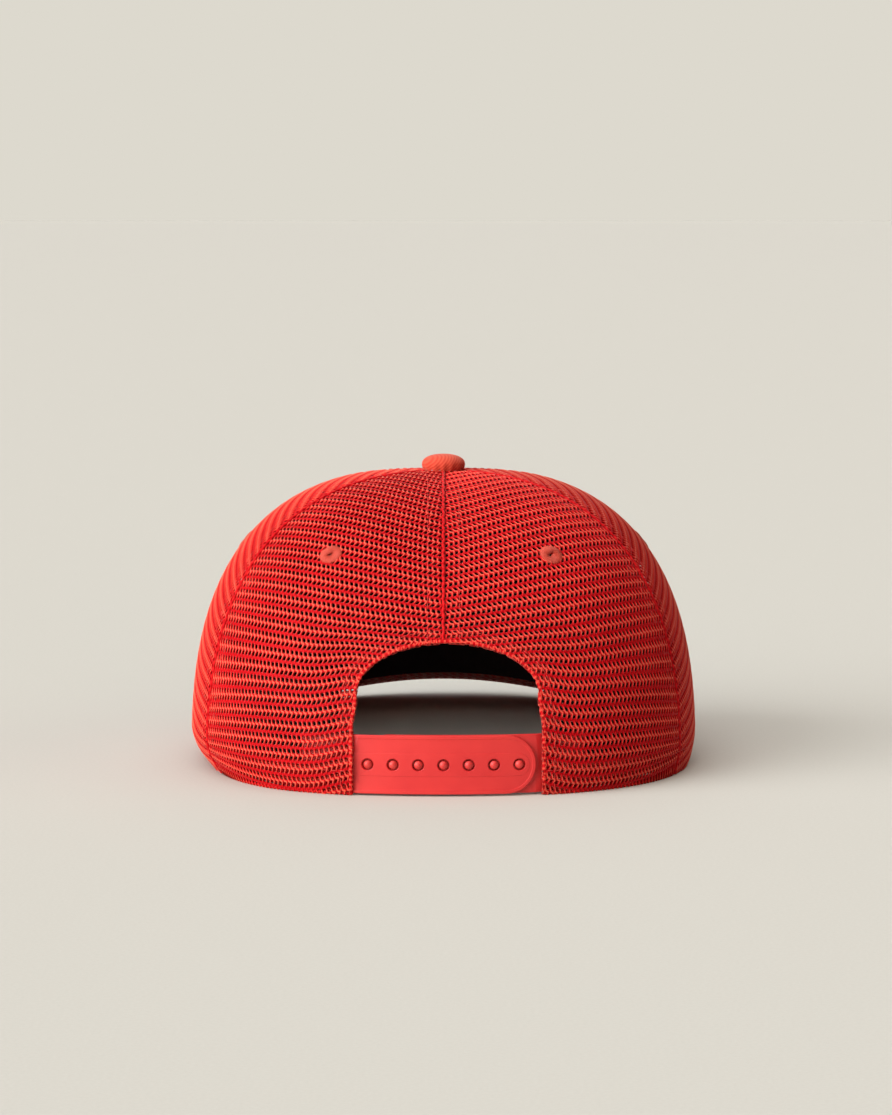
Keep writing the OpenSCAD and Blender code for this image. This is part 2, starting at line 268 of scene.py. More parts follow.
class Nodes:
    """Short helper for building one material's node tree."""

    def __init__(self, name, rough, sheen=0.0, sheen_rough=0.45, coat=0.0, specular=0.5):
        self.mat = bpy.data.materials.new(name)
        self.mat.use_nodes = True
        self.tree = self.mat.node_tree
        self.shader = self.tree.nodes["Principled BSDF"]
        self.fill(self.shader, {
            "Roughness": rough, "Sheen Weight": sheen, "Sheen Roughness": sheen_rough,
            "Sheen Tint": SHEEN_TINT, "Coat Weight": coat, "Coat Roughness": 0.3,
            "Specular IOR Level": specular,
        })
        self.coords = self.add("ShaderNodeTexCoord").outputs

    def fill(self, node, values):
        """Gives a node's inputs their values, or links them to another node's output."""
        for key, value in values.items():
            if isinstance(value, bpy.types.NodeSocket):
                self.tree.links.new(value, node.inputs[key])
            else:
                node.inputs[key].default_value = value

    def add(self, kind, values=None, **props):
        node = self.tree.nodes.new(kind)
        for key, value in props.items():
            setattr(node, key, value)
        self.fill(node, values or {})
        return node

    def noise(self, scale, detail=3.0):
        values = {"Scale": scale, "Detail": detail, "Vector": self.coords["Object"]}
        return self.add("ShaderNodeTexNoise", values).outputs["Fac"]

    def wave(self, scale, direction, distortion):
        values = {"Scale": scale, "Distortion": distortion, "Detail": 1.0, "Vector": self.coords["UV"]}
        return self.add("ShaderNodeTexWave", values, bands_direction=direction).outputs["Fac"]

    def math(self, op, a, b):
        return self.add("ShaderNodeMath", {0: a, 1: b}, operation=op).outputs[0]

    def sum(self, a, share_a, b, share_b):
        return self.math("ADD", self.math("MULTIPLY", a, share_a), self.math("MULTIPLY", b, share_b))

    def mix(self, factor, *colours):
        """Mixes two colours, each an sRGB triple or another node's output."""
        a, b = (srgb(*c) if isinstance(c, tuple) else c for c in colours)
        return self.add("ShaderNodeMix", {0: factor, 6: a, 7: b}, data_type="RGBA").outputs[2]

    def ramp(self, value, low, high):
        values = {"From Min": low, "From Max": high, "Value": value}
        return self.add("ShaderNodeMapRange", values).outputs["Result"]

    def shade(self, tone, low, high, deep, pale):
        """Base colour from deep to pale as the tone goes from low to high."""
        self.fill(self.shader, {"Base Color": self.mix(self.ramp(tone, low, high), deep, pale)})

    def roughness(self, value, low, high):
        node = self.add("ShaderNodeMapRange", {"To Min": low, "To Max": high, "Value": value})
        self.fill(self.shader, {"Roughness": node.outputs["Result"]})

    def bump(self, height, strength, distance):
        node = self.add("ShaderNodeBump", {"Strength": strength, "Distance": distance, "Height": height})
        self.fill(self.shader, {"Normal": node.outputs["Normal"]})


def mesh_yarn():
    """Knitted polyester with painted shade and highlight: deep red painted shade in the hollows, paler red
    and coral painted highlight where the ribs stand proud.
    """
    n = Nodes("mesh_yarn", 0.42, sheen=0.4, sheen_rough=0.3, specular=0.05)
    patch = n.ramp(n.noise(60.0, 4.0), 0.35, 0.65)
    fibre = n.noise(5200.0, 2.0)
    # low is the deep red painted shade of the hollows, high the paler red of the lit ribs.
    low = n.mix(patch, (170, 0, 10), (184, 0, 14))
    high = n.mix(patch, (222, 26, 32), (230, 38, 38))
    rise = n.add("ShaderNodeAttribute", attribute_name="rise").outputs["Fac"]
    # body mixes the hollows' painted shade into the ribs' paler red by the rib height, rise.
    body = n.mix(n.ramp(rise, 0.35, 0.8), low, high)
    # Coral painted highlight on the rib tops, broken up by the fibre noise.
    painted_highlight = n.math("MULTIPLY", n.ramp(rise, 0.72, 1.0), n.ramp(fibre, 0.25, 0.6))
    n.fill(n.shader, {"Base Color": n.mix(n.math("MULTIPLY", painted_highlight, 0.7), body, (240, 150, 112))})
    n.roughness(fibre, 0.36, 0.55)
    n.bump(fibre, 0.35, 0.00008)
    return n.mat


def twill(name, deep, pale, rib_scale=0.6):
    """Woven cotton twill with fine diagonal ribs, slightly paler on the ribs."""
    n = Nodes(name, 0.8, sheen=0.3, specular=0.25)
    ribs, cross = n.wave(rib_scale, "DIAGONAL", 0.6), n.wave(rib_scale * 1.7, "X", 0.5)
    fuzz = n.noise(3500.0, 2.0)
    weave = n.sum(ribs, 0.7, cross, 0.3)
    n.shade(n.sum(weave, 0.5, n.noise(45.0, 4.0), 0.5), 0.25, 0.8, deep, pale)
    n.roughness(fuzz, 0.7, 0.92)
    n.bump(n.sum(weave, 1.0, fuzz, 0.4), 0.5, 0.00018)
    return n.mat


def plain_weave(name, deep, pale, scale=0.8):
    n = Nodes(name, 0.9, sheen=0.15, specular=0.15)
    weave = n.math("MULTIPLY", n.wave(scale, "X", 0.4), n.wave(scale, "Y", 0.4))
    n.shade(n.sum(weave, 0.5, n.noise(80.0, 4.0), 0.5), 0.2, 0.8, deep, pale)
    n.bump(weave, 0.5, 0.00015)
    return n.mat


def thread(name, deep, pale):
    """Twisted sewing thread: fine slanting plies."""
    n = Nodes(name, 0.55, sheen=0.35, specular=0.35)
    plies, speck = n.wave(1.0, "DIAGONAL", 0.2), n.noise(2600.0, 2.0)
    n.shade(n.sum(plies, 0.5, speck, 0.5), 0.2, 0.8, deep, pale)
    n.roughness(speck, 0.45, 0.7)
    n.bump(plies, 0.4, 0.00008)
    return n.mat


def moulded(name, deep, pale):
    """Soft moulded plastic with a fine satin grain and faint wear."""
    n = Nodes(name, 0.42, coat=0.08, specular=0.45)
    n.shade(n.noise(70.0), 0.3, 0.7, deep, pale)
    n.roughness(n.noise(300.0, 4.0), 0.36, 0.52)
    n.bump(n.noise(2400.0), 0.12, 0.00006)
    return n.mat


def metal(name):
    n = Nodes(name, 0.35, specular=0.5)
    n.fill(n.shader, {"Metallic": 1.0})
    n.shade(n.noise(300.0), 0.0, 1.0, (150, 150, 152), (186, 186, 188))
    n.roughness(n.noise(900.0), 0.28, 0.5)
    return n.mat


MESH_YARN = mesh_yarn()
TWILL = twill("twill_red", (190, 20, 28), (222, 48, 44))
UNDER_TWILL = twill("twill_under", (180, 34, 34), (208, 62, 52))
BUTTON_CLOTH = twill("button_cloth", (204, 56, 38), (228, 92, 64), rib_scale=0.5)
LINING = plain_weave("lining_cloth", (10, 8, 8), (26, 20, 19))
TAPE = plain_weave("tape_cloth", (22, 8, 8), (44, 14, 14))
SWEATBAND = plain_weave("sweatband_cloth", (14, 9, 9), (34, 20, 18), scale=0.6)
THREAD = thread("sewing_thread", (196, 22, 28), (222, 56, 48))
DARK_THREAD = thread("dark_thread", (30, 12, 12), (60, 22, 20))
EYELET_THREAD = thread("eyelet_thread", (182, 40, 32), (218, 88, 62))
STRAP_PLASTIC = moulded("strap_plastic", (214, 42, 42), (226, 52, 48))
PEG_PLASTIC = moulded("peg_plastic", (212, 50, 48), (226, 64, 56))
BOARD_PLASTIC = moulded("board_plastic", (200, 196, 188), (214, 210, 202))
ZINC = metal("zinc")


def paint(material, *nodes):
    """Gives CAD nodes that show as they are their material."""
    for node in nodes:
        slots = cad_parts[node].data.materials
        slots.clear()
        slots.append(material)


paint(ZINC, "button_core", "button_stem")
paint(BOARD_PLASTIC, "brim_board")
paint(PEG_PLASTIC, "snap_pegs")


# ---- Mesh building ----


def link_object(name, mesh, material):
    mesh.materials.append(material)
    obj = bpy.data.objects.new(name, mesh)
    bpy.context.scene.collection.objects.link(obj)
    return obj


def make_object(name, points, faces, material, uv, rise=None):
    """Smooth piece of the cap from points in millimetres, with a weave's coordinates. Each
    array in faces holds faces with the same number of corners."""
    mesh = bpy.data.meshes.new(name)
    verts = to_world(points.reshape(-1, 3)).astype(np.float32)
    corners = np.concatenate([group.ravel() for group in faces]).astype(np.int32)
    sizes = np.concatenate([np.full(len(group), group.shape[1], np.int32) for group in faces])
    mesh.vertices.add(len(verts))
    mesh.vertices.foreach_set("co", verts.ravel())
    mesh.loops.add(len(corners))
    mesh.loops.foreach_set("vertex_index", corners)
    mesh.polygons.add(len(sizes))
    mesh.polygons.foreach_set("loop_start", (np.cumsum(sizes) - sizes).astype(np.int32))
    mesh.update(calc_edges=True)
    mesh.validate()
    layer = mesh.uv_layers.new(name="UVMap")
    index = np.empty(len(mesh.loops), np.int32)
    mesh.loops.foreach_get("vertex_index", index)
    layer.data.foreach_set("uv", np.asarray(uv, np.float32).reshape(-1, 2)[index].ravel())
    if rise is not None:
        attr = mesh.attributes.new("rise", "FLOAT", "POINT")
        attr.data.foreach_set("value", np.asarray(rise, np.float32))
    mesh.polygons.foreach_set("use_smooth", np.full(len(mesh.polygons), True))
    obj = link_object(name, mesh, material)
    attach(obj, "cap")
    return obj


def grid_faces(nu, nv):
    i, j = np.meshgrid(np.arange(nu - 1), np.arange(nv - 1), indexing="ij")
    a = i * nv + j
    return np.stack([a, a + nv, a + nv + 1, a + 1], -1).reshape(-1, 4)


def hoop_faces(rings, sides, closed=False):
    """Faces between rings of points, each ring joined round to its own start."""
    i, j = np.meshgrid(np.arange(rings if closed else rings - 1), np.arange(sides), indexing="ij")
    here, there, turn = i * sides, (i + 1) % rings * sides, (j + 1) % sides
    return np.stack([here + j, here + turn, there + turn, there + j], -1).reshape(-1, 4)


def cord_faces(rings, sides, cords=1):
    """Faces of cords with closed ends, whose points follow one another."""
    first = np.arange(cords)[:, None, None] * rings * sides
    start, end = np.arange(sides)[::-1], np.arange((rings - 1) * sides, rings * sides)
    return [(first + hoop_faces(rings, sides)).reshape(-1, 4), (first + [start, end]).reshape(-1, sides)]


# Each cloth piece's flat size and area as it was cut, in metres.
CUTS = {}


def solid_grid(name, outer, inner, material, uv):
    """Closed solid between two point grids of the same shape."""
    nu, nv = outer.shape[:2]
    count = nu * nv
    i, j = np.arange(nu - 1) * nv, np.arange(nv - 1)
    end, top = (nu - 1) * nv, nv - 1
    faces = [
        grid_faces(nu, nv),
        grid_faces(nu, nv)[:, ::-1] + count,
        np.stack([i, i + count, i + nv + count, i + nv], -1),
        np.stack([i + top, i + nv + top, i + nv + top + count, i + top + count], -1),
        np.stack([j, j + 1, j + 1 + count, j + count], -1),
        np.stack([end + j, end + j + count, end + j + 1 + count, end + j + 1], -1),
    ]
    return make_object(name, np.stack([outer, inner]), faces, material, np.stack([uv, uv]))


def cloth(name, outer, inner, material, node, base, uv=None):
    """Cloth that stands for a CAD node and covers a grid of points, base. Without uv, its
    weave follows the millimetres along that grid."""
    u = np.cumsum(np.linalg.norm(np.diff(base, axis=0, prepend=base[:1]), axis=2), 0)
    v = np.cumsum(np.linalg.norm(np.diff(base, axis=1, prepend=base[:, :1]), axis=2), 1)
    if uv is None:
        uv = np.stack([u - u[len(u) // 2], v], -1)
    obj = solid_grid(name, outer, inner, material, uv)
    diagonals = base[1:, 1:] - base[:-1, :-1], base[1:, :-1] - base[:-1, 1:]
    area = np.linalg.norm(np.cross(*diagonals), axis=-1).sum() / 2
    CUTS[name] = (float(u[-1].max() * MM), float(v[:, -1].max() * MM)), float(area * MM**2)
    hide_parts(node)


def tube(name, path, radii, rise, up, sides=8):
    """Cord of mesh yarn along a path, with a radius and a rise for each point; the rise sets its painted
    shade and painted highlight.
    """
    n = len(path)
    ahead = unit(np.gradient(path, axis=0))
    side = unit(np.cross(ahead, up))
    up = np.cross(side, ahead)
    angle = np.linspace(0, 2 * math.pi, sides, endpoint=False)
    ring = np.cos(angle)[:, None] * side[:, None] + np.sin(angle)[:, None] * up[:, None]
    points = path[:, None] + ring * radii[:, None, None]
    uv = np.stack([np.repeat(np.arange(n) / 2.0, sides), np.tile(angle / math.pi, n)], -1)
    return make_object(name, points, cord_faces(n, sides), MESH_YARN, uv, np.repeat(rise, sides))


def resample(path, step):
    gaps = np.linalg.norm(np.diff(path, axis=0), axis=1)
    along = np.concatenate([[0], np.cumsum(gaps)])
    at = np.linspace(0, along[-1], max(2, int(along[-1] / step) + 1))
    return np.stack([np.interp(at, along, path[:, k]) for k in range(path.shape[1])], -1)


def stitches(name, path, normals, material=THREAD, pitch=STITCH_PITCH, length=2.2, radius=0.15):
    """A row of short sewn stitches that lie on a surface and dip in at their ends."""
    centres = resample(np.concatenate([path, normals], 1), pitch / 2)[1::2]
    pos, nor = centres[:, :3], unit(centres[:, 3:])
    ahead = unit(np.gradient(pos, axis=0))
    side = np.cross(nor, ahead)
    rings, sides, n = 6, 6, len(pos)
    t = np.linspace(-1, 1, rings)
    angle = np.linspace(0, 2 * math.pi, sides, endpoint=False)
    along = t * length / 2
    lift = (0.1 - 0.34 * t**4)[:, None]
    fat = radius * np.array([0.55, 0.95, 1, 1, 0.95, 0.55])[:, None]
    points = (
        pos[:, None, None] + ahead[:, None, None] * along[:, None, None]
        + nor[:, None, None] * (lift + fat * np.sin(angle))[..., None]
        + side[:, None, None] * (fat * np.cos(angle))[..., None]
    )
    uv = np.stack([np.tile(np.repeat(along, sides), n), np.tile(angle, n * rings)], -1)
    make_object(name, points, cord_faces(rings, sides, n), material, uv)


# ---- Knitted mesh ----


class Gore:
    """Flat cloth laid on the crown: q runs up the panel's middle, p along a row.

    Each row is the curve where the crown meets the plane that stands square on it and
    holds the row's first direction, as cloth that wraps a dome without stretching."""

    STEP = 1.0
    REACH = 62.0

    def __init__(self, az_mid):
        heights = TOP * np.sin(np.linspace(0, math.pi / 2, 900)) ** 1.2
        spine = wall_point(np.full(900, az_mid), heights)
        climb = np.concatenate([[0], np.cumsum(np.linalg.norm(np.diff(spine, axis=0), axis=1))])
        self.length = climb[-1]
        self.q = np.arange(-4.0, self.length, self.STEP)
        start = np.stack([np.interp(self.q, climb, spine[:, k]) for k in range(3)], -1)
        start[self.q < 0, 2] = self.q[self.q < 0]
        across = np.array([math.cos(az_mid), -math.sin(az_mid), 0.0])
        out = np.cross(unit(np.gradient(start, axis=0)), across)
        s = np.arange(-self.REACH, self.REACH + 0.1, self.STEP)
        flat = start[:, None] + across * s[None, :, None]
        low = np.full(flat.shape[:2], -2.0)
        high = np.full(flat.shape[:2], 75.0)
        for _ in range(34):
            mid = (low + high) / 2
            x, y, z = np.moveaxis(flat - out[:, None] * mid[..., None], -1, 0)
            outside = (np.hypot(x, y) > wall_radius(np.arctan2(x, y), z)) | (z > TOP)
            low = np.where(outside, mid, low)
            high = np.where(outside, high, mid)
        points = flat - out[:, None] * ((low + high) / 2)[..., None]
        gaps = np.linalg.norm(np.diff(points, axis=1), axis=2)
        along = np.concatenate([np.zeros((len(self.q), 1)), np.cumsum(gaps, 1)], 1)
        along -= along[:, [len(s) // 2]]
        self.p = s
        self.points = np.stack([[np.interp(s, at, row[:, k]) for k in range(3)]
                                for at, row in zip(along, points)]).transpose(0, 2, 1)
        normals = np.cross(np.gradient(self.points, axis=0), np.gradient(self.points, axis=1))
        self.normals = normals / np.maximum(np.linalg.norm(normals, axis=2, keepdims=True), 1e-9)

    def at(self, p, q):
        """Points and outward normals on the crown, by bilinear lookup."""
        fi = np.clip((q - self.q[0]) / self.STEP, 0, len(self.q) - 1.001)
        fj = np.clip((p - self.p[0]) / self.STEP, 0, len(self.p) - 1.001)
        i, j = fi.astype(int), fj.astype(int)
        u, v = (fi - i)[..., None], (fj - j)[..., None]
        points, normals = (
            table[i, j] * (1 - u) * (1 - v) + table[i + 1, j] * u * (1 - v)
            + table[i, j + 1] * (1 - u) * v + table[i + 1, j + 1] * u * v
            for table in (self.points, self.normals)
        )
        return points, unit(normals)


def arch_half(z):
    """Half of the arch's width, which opens a little towards the strap."""
    return ARCH_HALF_W + ARCH_FLARE * smooth((ARCH_LEG - 2 - z) / 9)


def arch_place(x, z):
    """A point's place in the arch, whose outline is where the third value is 1."""
    dx, dz = (x - ARCH_X) / arch_half(z), np.maximum(0, z - ARCH_LEG) / ARCH_RISE
    return dx, dz, np.maximum(np.hypot(dx, dz), 1e-6)


def arch_depth(x, z):
    """How far inside the arch's outline a point is: above 0 inside, below 0 outside."""
    return (1 - arch_place(x, z)[2]) * arch_half(z)


def clamp_to_arch(x, z):
    """Moves points that lie inside the arch's outline onto it."""
    dx, dz, size = arch_place(x, z)
    leg = z <= ARCH_LEG
    new_x = np.where(leg, np.where(x < ARCH_X, -1.0, 1.0), dx / size) * arch_half(z) + ARCH_X
    new_z = np.where(leg, z, ARCH_LEG + ARCH_RISE * dz / size)
    return np.where(size < 1, new_x, x), np.where(size < 1, new_z, z), size < 1


RING = 12


def cell_outline():
    """Twelve points round one mesh cell and round its hole, about the cell's middle."""
    a, low, high = HOLE_PITCH / 2, ROW_PITCH * CELL_LEG, ROW_PITCH * (1 - CELL_LEG)
    mid = (low + high) / 2
    edge = np.array([(a, 0), (a, low), (a / 2, mid), (0, high), (-a / 2, mid), (-a, low), (-a, 0),
                     (-a, -low), (-a / 2, -mid), (0, -high), (a / 2, -mid), (a, -low)])
    angle = np.arctan2(edge[:, 1], edge[:, 0])
    power = 2.2
    c, s = np.cos(angle), np.sin(angle)
    size = (np.abs(c / (HOLE_W / 2)) ** power + np.abs(s / (HOLE_H / 2)) ** power) ** (-1 / power)
    return edge, np.stack([c * size, s * size], -1)


# How high the ribs stand at the twelve points round a cell. Every second gap between
# rows is crossed by raised slanting strands, and the gaps between lie flatter. The yarn's
# painted highlight and painted shade follow these heights.
RIBS = np.array([
    [1, 0.5, 0.2, 0.5, 0.2, 0.5, 1, 1, 0.1, 1, 1, 1],
    [1, 1, 0.1, 1, 1, 1, 1, 0.5, 0.2, 0.5, 0.2, 0.5],
])


def knit(name, gore, keep, shape, lay=None, off=0.0, shift=(0.0, 0.0), seed=1):
    """Knitted mesh over a region of the crown, as one closed skin with real holes.

    keep(points) says which points belong to the region; shape(points) returns points
    moved onto the region's border where they lie past it; lay(p, q) skews the rows."""

    def look(p, q):
        p = p + STRAND_SWAY * np.sin(math.pi * (q - shift[1]) / ROW_PITCH)
        if lay:
            p, q = lay(p, q)
        return gore.at(p, q), (np.abs(p) < gore.REACH - 1) & (q > gore.q[0]) & (q < gore.q[-1])

    edge, hole = cell_outline()
    j, i = np.meshgrid(np.arange(-16, int(gore.length / ROW_PITCH) + 16), np.arange(-62, 63), indexing="ij")
    q0 = (j * ROW_PITCH + shift[1]).ravel()
    p0 = ((i + 0.5 * (j % 2)) * HOLE_PITCH + shift[0]).ravel()
    (border, _), inside = look(p0[:, None] + edge[:, 0] * 0.9, q0[:, None] + edge[:, 1] * 0.9)
    wanted = (keep(border) & inside).sum(1) >= 5
    p0, q0, odd = p0[wanted], q0[wanted], (j.ravel() % 2)[wanted]
    n = len(p0)
    # No two holes are quite alike in size and place.
    local = np.random.default_rng(seed)
    wobble = 1 + local.normal(0, 0.05, (n, 1, 1))
    ring_hole = hole * wobble + local.normal(0, 0.03, (n, 1, 2))
    ring_edge = np.broadcast_to(edge, (n, RING, 2))
    # The middle ring carries the rib's round shoulder.
    ring_mid = ring_hole + (ring_edge - ring_hole) * RIB_SHOULDER
    rib_top = RIB_PROUD * RIBS[odd]
    pq = np.stack([ring_hole, ring_mid, ring_edge, ring_edge], 1) + np.stack([p0, q0], -1)[:, None, None]
    h = np.stack([np.full((n, RING), -HOLE_SINK), rib_top * 0.62, rib_top, np.full((n, RING), -MESH_BACK)], 1)
    (base, normal), _ = look(pq[..., 0], pq[..., 1])
    base, sink = shape(base)
    points = base + normal * (h * (1 - 0.55 * sink) + off - SEAM_SINK * sink)[..., None]
    # rise carries the yarn's painted shade and highlight: low in the holes, high on the rib tops, and lower
    # where the seam sinks the mesh, as painted shade there.
    rise = np.clip((h + HOLE_SINK) / (RIB_PROUD + HOLE_SINK), 0, 1) * (1 - 0.5 * sink)
    # Ring points that neighbours share become one vertex.
    place = np.round(pq.reshape(-1, 2) * 200).astype(np.int64)
    layer = np.tile(np.repeat(np.arange(4), RING), n)[:, None]
    _, first, index = np.unique(np.concatenate([place, layer], 1), axis=0, return_index=True,
                                return_inverse=True)
    verts = points.reshape(-1, 3)[first]
    a = index.reshape(n, 4, RING)
    b = np.roll(a, -1, axis=2)
    quads = [np.stack([a[:, k], b[:, k], b[:, m], a[:, m]], -1) for k, m in ((1, 0), (2, 1), (0, 3))]
    # The panel's own border is closed between its two sides.
    around, uses = np.unique(np.sort(np.stack([a[:, 2], b[:, 2]], -1).reshape(-1, 2), axis=1), axis=0,
                             return_inverse=True)
    alone = (np.bincount(uses.ravel(), minlength=len(around)) == 1)[uses.ravel()].reshape(n, RING)
    quads.append(np.stack([b[:, 2], a[:, 2], a[:, 3], b[:, 3]], -1)[alone])
    faces = np.concatenate([group.reshape(-1, 4) for group in quads])
    # Strips that the border pressed flat to nothing are dropped.
    corner = verts[faces]
    area = np.linalg.norm(np.cross(corner[:, 2] - corner[:, 0], corner[:, 3] - corner[:, 1]), axis=1)
    obj = make_object(name, verts, [faces[area > 2e-3]], MESH_YARN, pq.reshape(-1, 2)[first],
                      rise.reshape(-1)[first])
    flat = (float(np.ptp(p0) + HOLE_PITCH) * MM, float(np.ptp(q0) + ROW_PITCH) * MM)
    CUTS[obj.name] = flat, n * HOLE_PITCH * ROW_PITCH * MM**2
    return obj


def panel_region(az_low, az_high, arch=False, eyelet=None):
    """keep and shape functions for one mesh panel between two seams."""
    low, high = math.radians(az_low), math.radians(az_high)

    def locate(points):
        """Points with their azimuth, height and distance from the axis. The arch's hem
        gathers the rows next to it upwards."""
        if arch:
            x, z = points[..., 0], points[..., 2]
            near = smooth((PULL_OUTER_X - np.abs(x)) / (PULL_OUTER_X - PULL_INNER_X))
            z = z + PULL_UP * near**1.5 * (1 - smooth((z - 34) / 26))
            points = wall_point(azimuth_at(x, z), z)
        x, y, z = np.moveaxis(points, -1, 0)
        az = np.arctan2(x, y)
        az = np.where(az < low - 1.0, az + 2 * math.pi, az)
        return points, az, z, np.maximum(np.hypot(x, y), 1)

    def keep(points):
        points, az, z, r = locate(points)
        ease = SEAM_EASE / r
        ok = (az > low + ease) & (az < high - ease) & (z > rim_height(az) + 0.1) & (r > CROWN_HOLE_R)
        if arch:
            ok &= arch_depth(points[..., 0], z) < -0.15
        if eyelet is not None:
            ok &= np.linalg.norm(points - eyelet, axis=-1) > EYELET_CUT_R
        return ok

    def shape(points):
        points, az, z, r = locate(points)
        ease = SEAM_EASE / r
        new_az = np.clip(az, low + ease, high - ease)
        new_z = np.maximum(z, rim_height(new_az))
        if arch:
            x = wall_radius(new_az, new_z) * np.sin(new_az)
            x, moved_z, inside = clamp_to_arch(x, new_z)
            new_az = np.where(inside, azimuth_at(x, moved_z), new_az)
            new_z = np.where(inside, moved_z, new_z)
        moved = (np.abs(new_az - az) > 1e-9) | (np.abs(new_z - z) > 1e-9)
        out = np.where(moved[..., None], wall_point(new_az, new_z), points)
        to_seam = np.minimum(new_az - low, high - new_az) * r
        return out, np.exp(-((to_seam / SEAM_SINK_W) ** 2))

    return keep, shape


GORES = {az: Gore(math.radians(az)) for az in (30, 90, -30, -90)}


def side_lay(hand):
    """The side panels' rows run down towards the back."""
    turn = SIDE_GRAIN * hand

    def lay(p, q):
        return p * math.cos(turn) - q * math.sin(turn), p * math.sin(turn) + q * math.cos(turn)

    return lay


def rear_lay(hand):
    """The rear panels' rows stay tilted towards the centre seam in their upper part."""

    def lay(p, q):
        out = p * hand
        return p, q + (0.06 * out + 0.0026 * out**2) * smooth((q - 26) / 30)

    return lay


def mesh_panels():
    for name, middle, seed in (("rear_left", 30, 11), ("rear_right", -30, 12), ("side_left", 90, 13),
                               ("side_right", -90, 14)):
        rear, hand = name.startswith("rear"), math.copysign(1, middle)
        node = name.replace("_", "_mesh_")
        eyelet = wall_point(math.radians(EYELETS[name]), EYELET_Z)
        keep, shape = panel_region(middle - 30, middle + 30, rear, eyelet)
        lay = rear_lay(hand) if rear else side_lay(hand)
        panel = knit(node + "_knit", GORES[middle], keep, shape, lay, seed=seed)
        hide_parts(node)


def hems():
    """Second layer of mesh, folded inside along the rim and round the arch. Each is a
    narrow strip along its panel's edge, so its flat size is that strip's."""
    for name, middle, low, high, seed, nodes in (
        ("arch_and_rim_hem_left", 30, 0, 60, 21, ["arch_hem", "rim_hem_left"]),
        ("arch_and_rim_hem_right", -30, -60, 0, 22, ["rim_hem_right"]),
        ("side_rim_hem_left", 90, 60, 119, 23, []),
        ("side_rim_hem_right", -90, -119, -60, 24, []),
    ):
        arch = name.startswith("arch")
        keep, shape = panel_region(low, high, arch)

        def band(points, keep=keep, arch=arch):
            x, y, z = np.moveaxis(points, -1, 0)
            near = z < rim_height(np.arctan2(x, y)) + RIM_HEM_H
            return keep(points) & (near | (arch & (arch_depth(x, z) > -ARCH_HEM_W)))

        hem = knit(name, GORES[middle], band, shape, off=HEM_OFF, shift=HEM_SHIFT, seed=seed)
        area = CUTS[name][1]
        CUTS[name] = (HEM_STRIP * MM, area / (HEM_STRIP * MM)), area
        if nodes:
            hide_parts(*nodes)


mesh_panels()
hems()


# ---- Front panels, lining, tapes, sweatband ----


def wall_solid(name, az, heights, off, thickness, material, node, nu=60, nv=50, seam_dip=0.0):
    """Cloth on the crown between two azimuths in degrees and two heights, which are
    functions of azimuth. seam_dip turns its side edges in."""
    azs = np.radians(np.linspace(*az, nu))
    power = profile_power(azs)
    t0, t1 = (np.arcsin(np.clip(height(azs) / TOP, 0, 1) ** (power / 2)) for height in heights)
    t = t0[:, None] + (t1 - t0)[:, None] * np.linspace(0, 1, nv) ** 1.5
    z = TOP * np.sin(t) ** (2 / power)[:, None]
    base, normal = wall_point(azs[:, None], z), wall_normal(azs[:, None], z)
    to_side = np.minimum(azs - azs[0], azs[-1] - azs)[:, None] * np.hypot(base[..., 0], base[..., 1])
    dip = seam_dip * np.exp(-((to_side / 0.8) ** 2))
    outer = base + normal * (off - dip)[..., None]
    cloth(name, outer, base + normal * (off - thickness), material, node, base)


def front_and_inside():
    for side, az in (("left", (120.1, 179.9)), ("right", (180.1, 239.9))):
        wall_solid(f"front_{side}_cloth", az, (rim_height, lambda a: height_at_radius(a, 4.5)), 0.0, CLOTH_T,
                   TWILL, "front_panel_" + side, seam_dip=0.6)
    wall_solid("front_lining_cloth", (121, 239),
               (lambda a: rim_height(a) + 1, lambda a: height_at_radius(a, 6)),
               LINING_OFF, LINING_T, LINING, "front_lining", nu=90)
    wall_solid("sweatband_cloth_band", (22.8, 337.2),
               (lambda a: rim_height(a) + 0.5, lambda a: rim_height(a) + SWEATBAND_H),
               SWEATBAND_OFF, SWEATBAND_T, SWEATBAND, "sweatband", nu=200, nv=16)


def tape(name, az_deg, low):
    """Tape inside over a seam, a little proud along its middle."""
    az0 = math.radians(az_deg)
    z = heights_up_to(low, 0.06, 90)
    r = wall_radius(az0, z)
    z, r = z[r > 5], r[r > 5]
    reach = np.minimum(np.arcsin(np.minimum(1, TAPE_HALF_W / r)), math.radians(28.5))
    v = np.linspace(-1, 1, 9)[:, None]
    az = az0 + reach * v
    base, normal = wall_point(az, z), wall_normal(az, z)
    crown = TAPE_OFF + 0.12 * (1 - v[..., None] ** 2)
    inner = base + normal * (TAPE_OFF - TAPE_T)
    cloth(name + "_cloth", base + normal * crown, inner, TAPE, name, base)


def seam_lines():
    """Tape and two rows of stitches at each seam; the needle's thread shows on both sides."""
    for name, az, low, lift in (
        ("front", 180, FRONT_RISE + 1, 0.02),
        ("front_left", 120, 6.0, 0.02),
        ("front_right", 240, 6.0, 0.02),
        ("side_left", 60, 1.0, STITCH_RAISED),
        ("side_right", 300, 1.0, STITCH_RAISED),
        ("rear", 0, ARCH_LEG + ARCH_RISE + 1, STITCH_RAISED),
    ):
        tape("seam_tape_" + name, az, low)
        z = heights_up_to(low if az else low - 0.5, 0.06, 120)
        r = wall_radius(math.radians(az), z)
        z, r = z[r > 9.5], r[r > 9.5]
        for row, side in (("a", -1), ("b", 1)):
            azs = math.radians(az) + side * np.arcsin(np.minimum(0.9, SEAM_STITCH / r))
            point, normal = wall_point(azs, z), wall_normal(azs, z)
            label = f"seam_stitch_{name}_{row}"
            stitches(label, point + normal * lift, normal)
            stitches(label + "_inside", point + normal * (TAPE_OFF - TAPE_T), -normal, DARK_THREAD,
                     radius=0.2)


front_and_inside()
seam_lines()


# ---- Folds, seam ridges, hem stitches ----


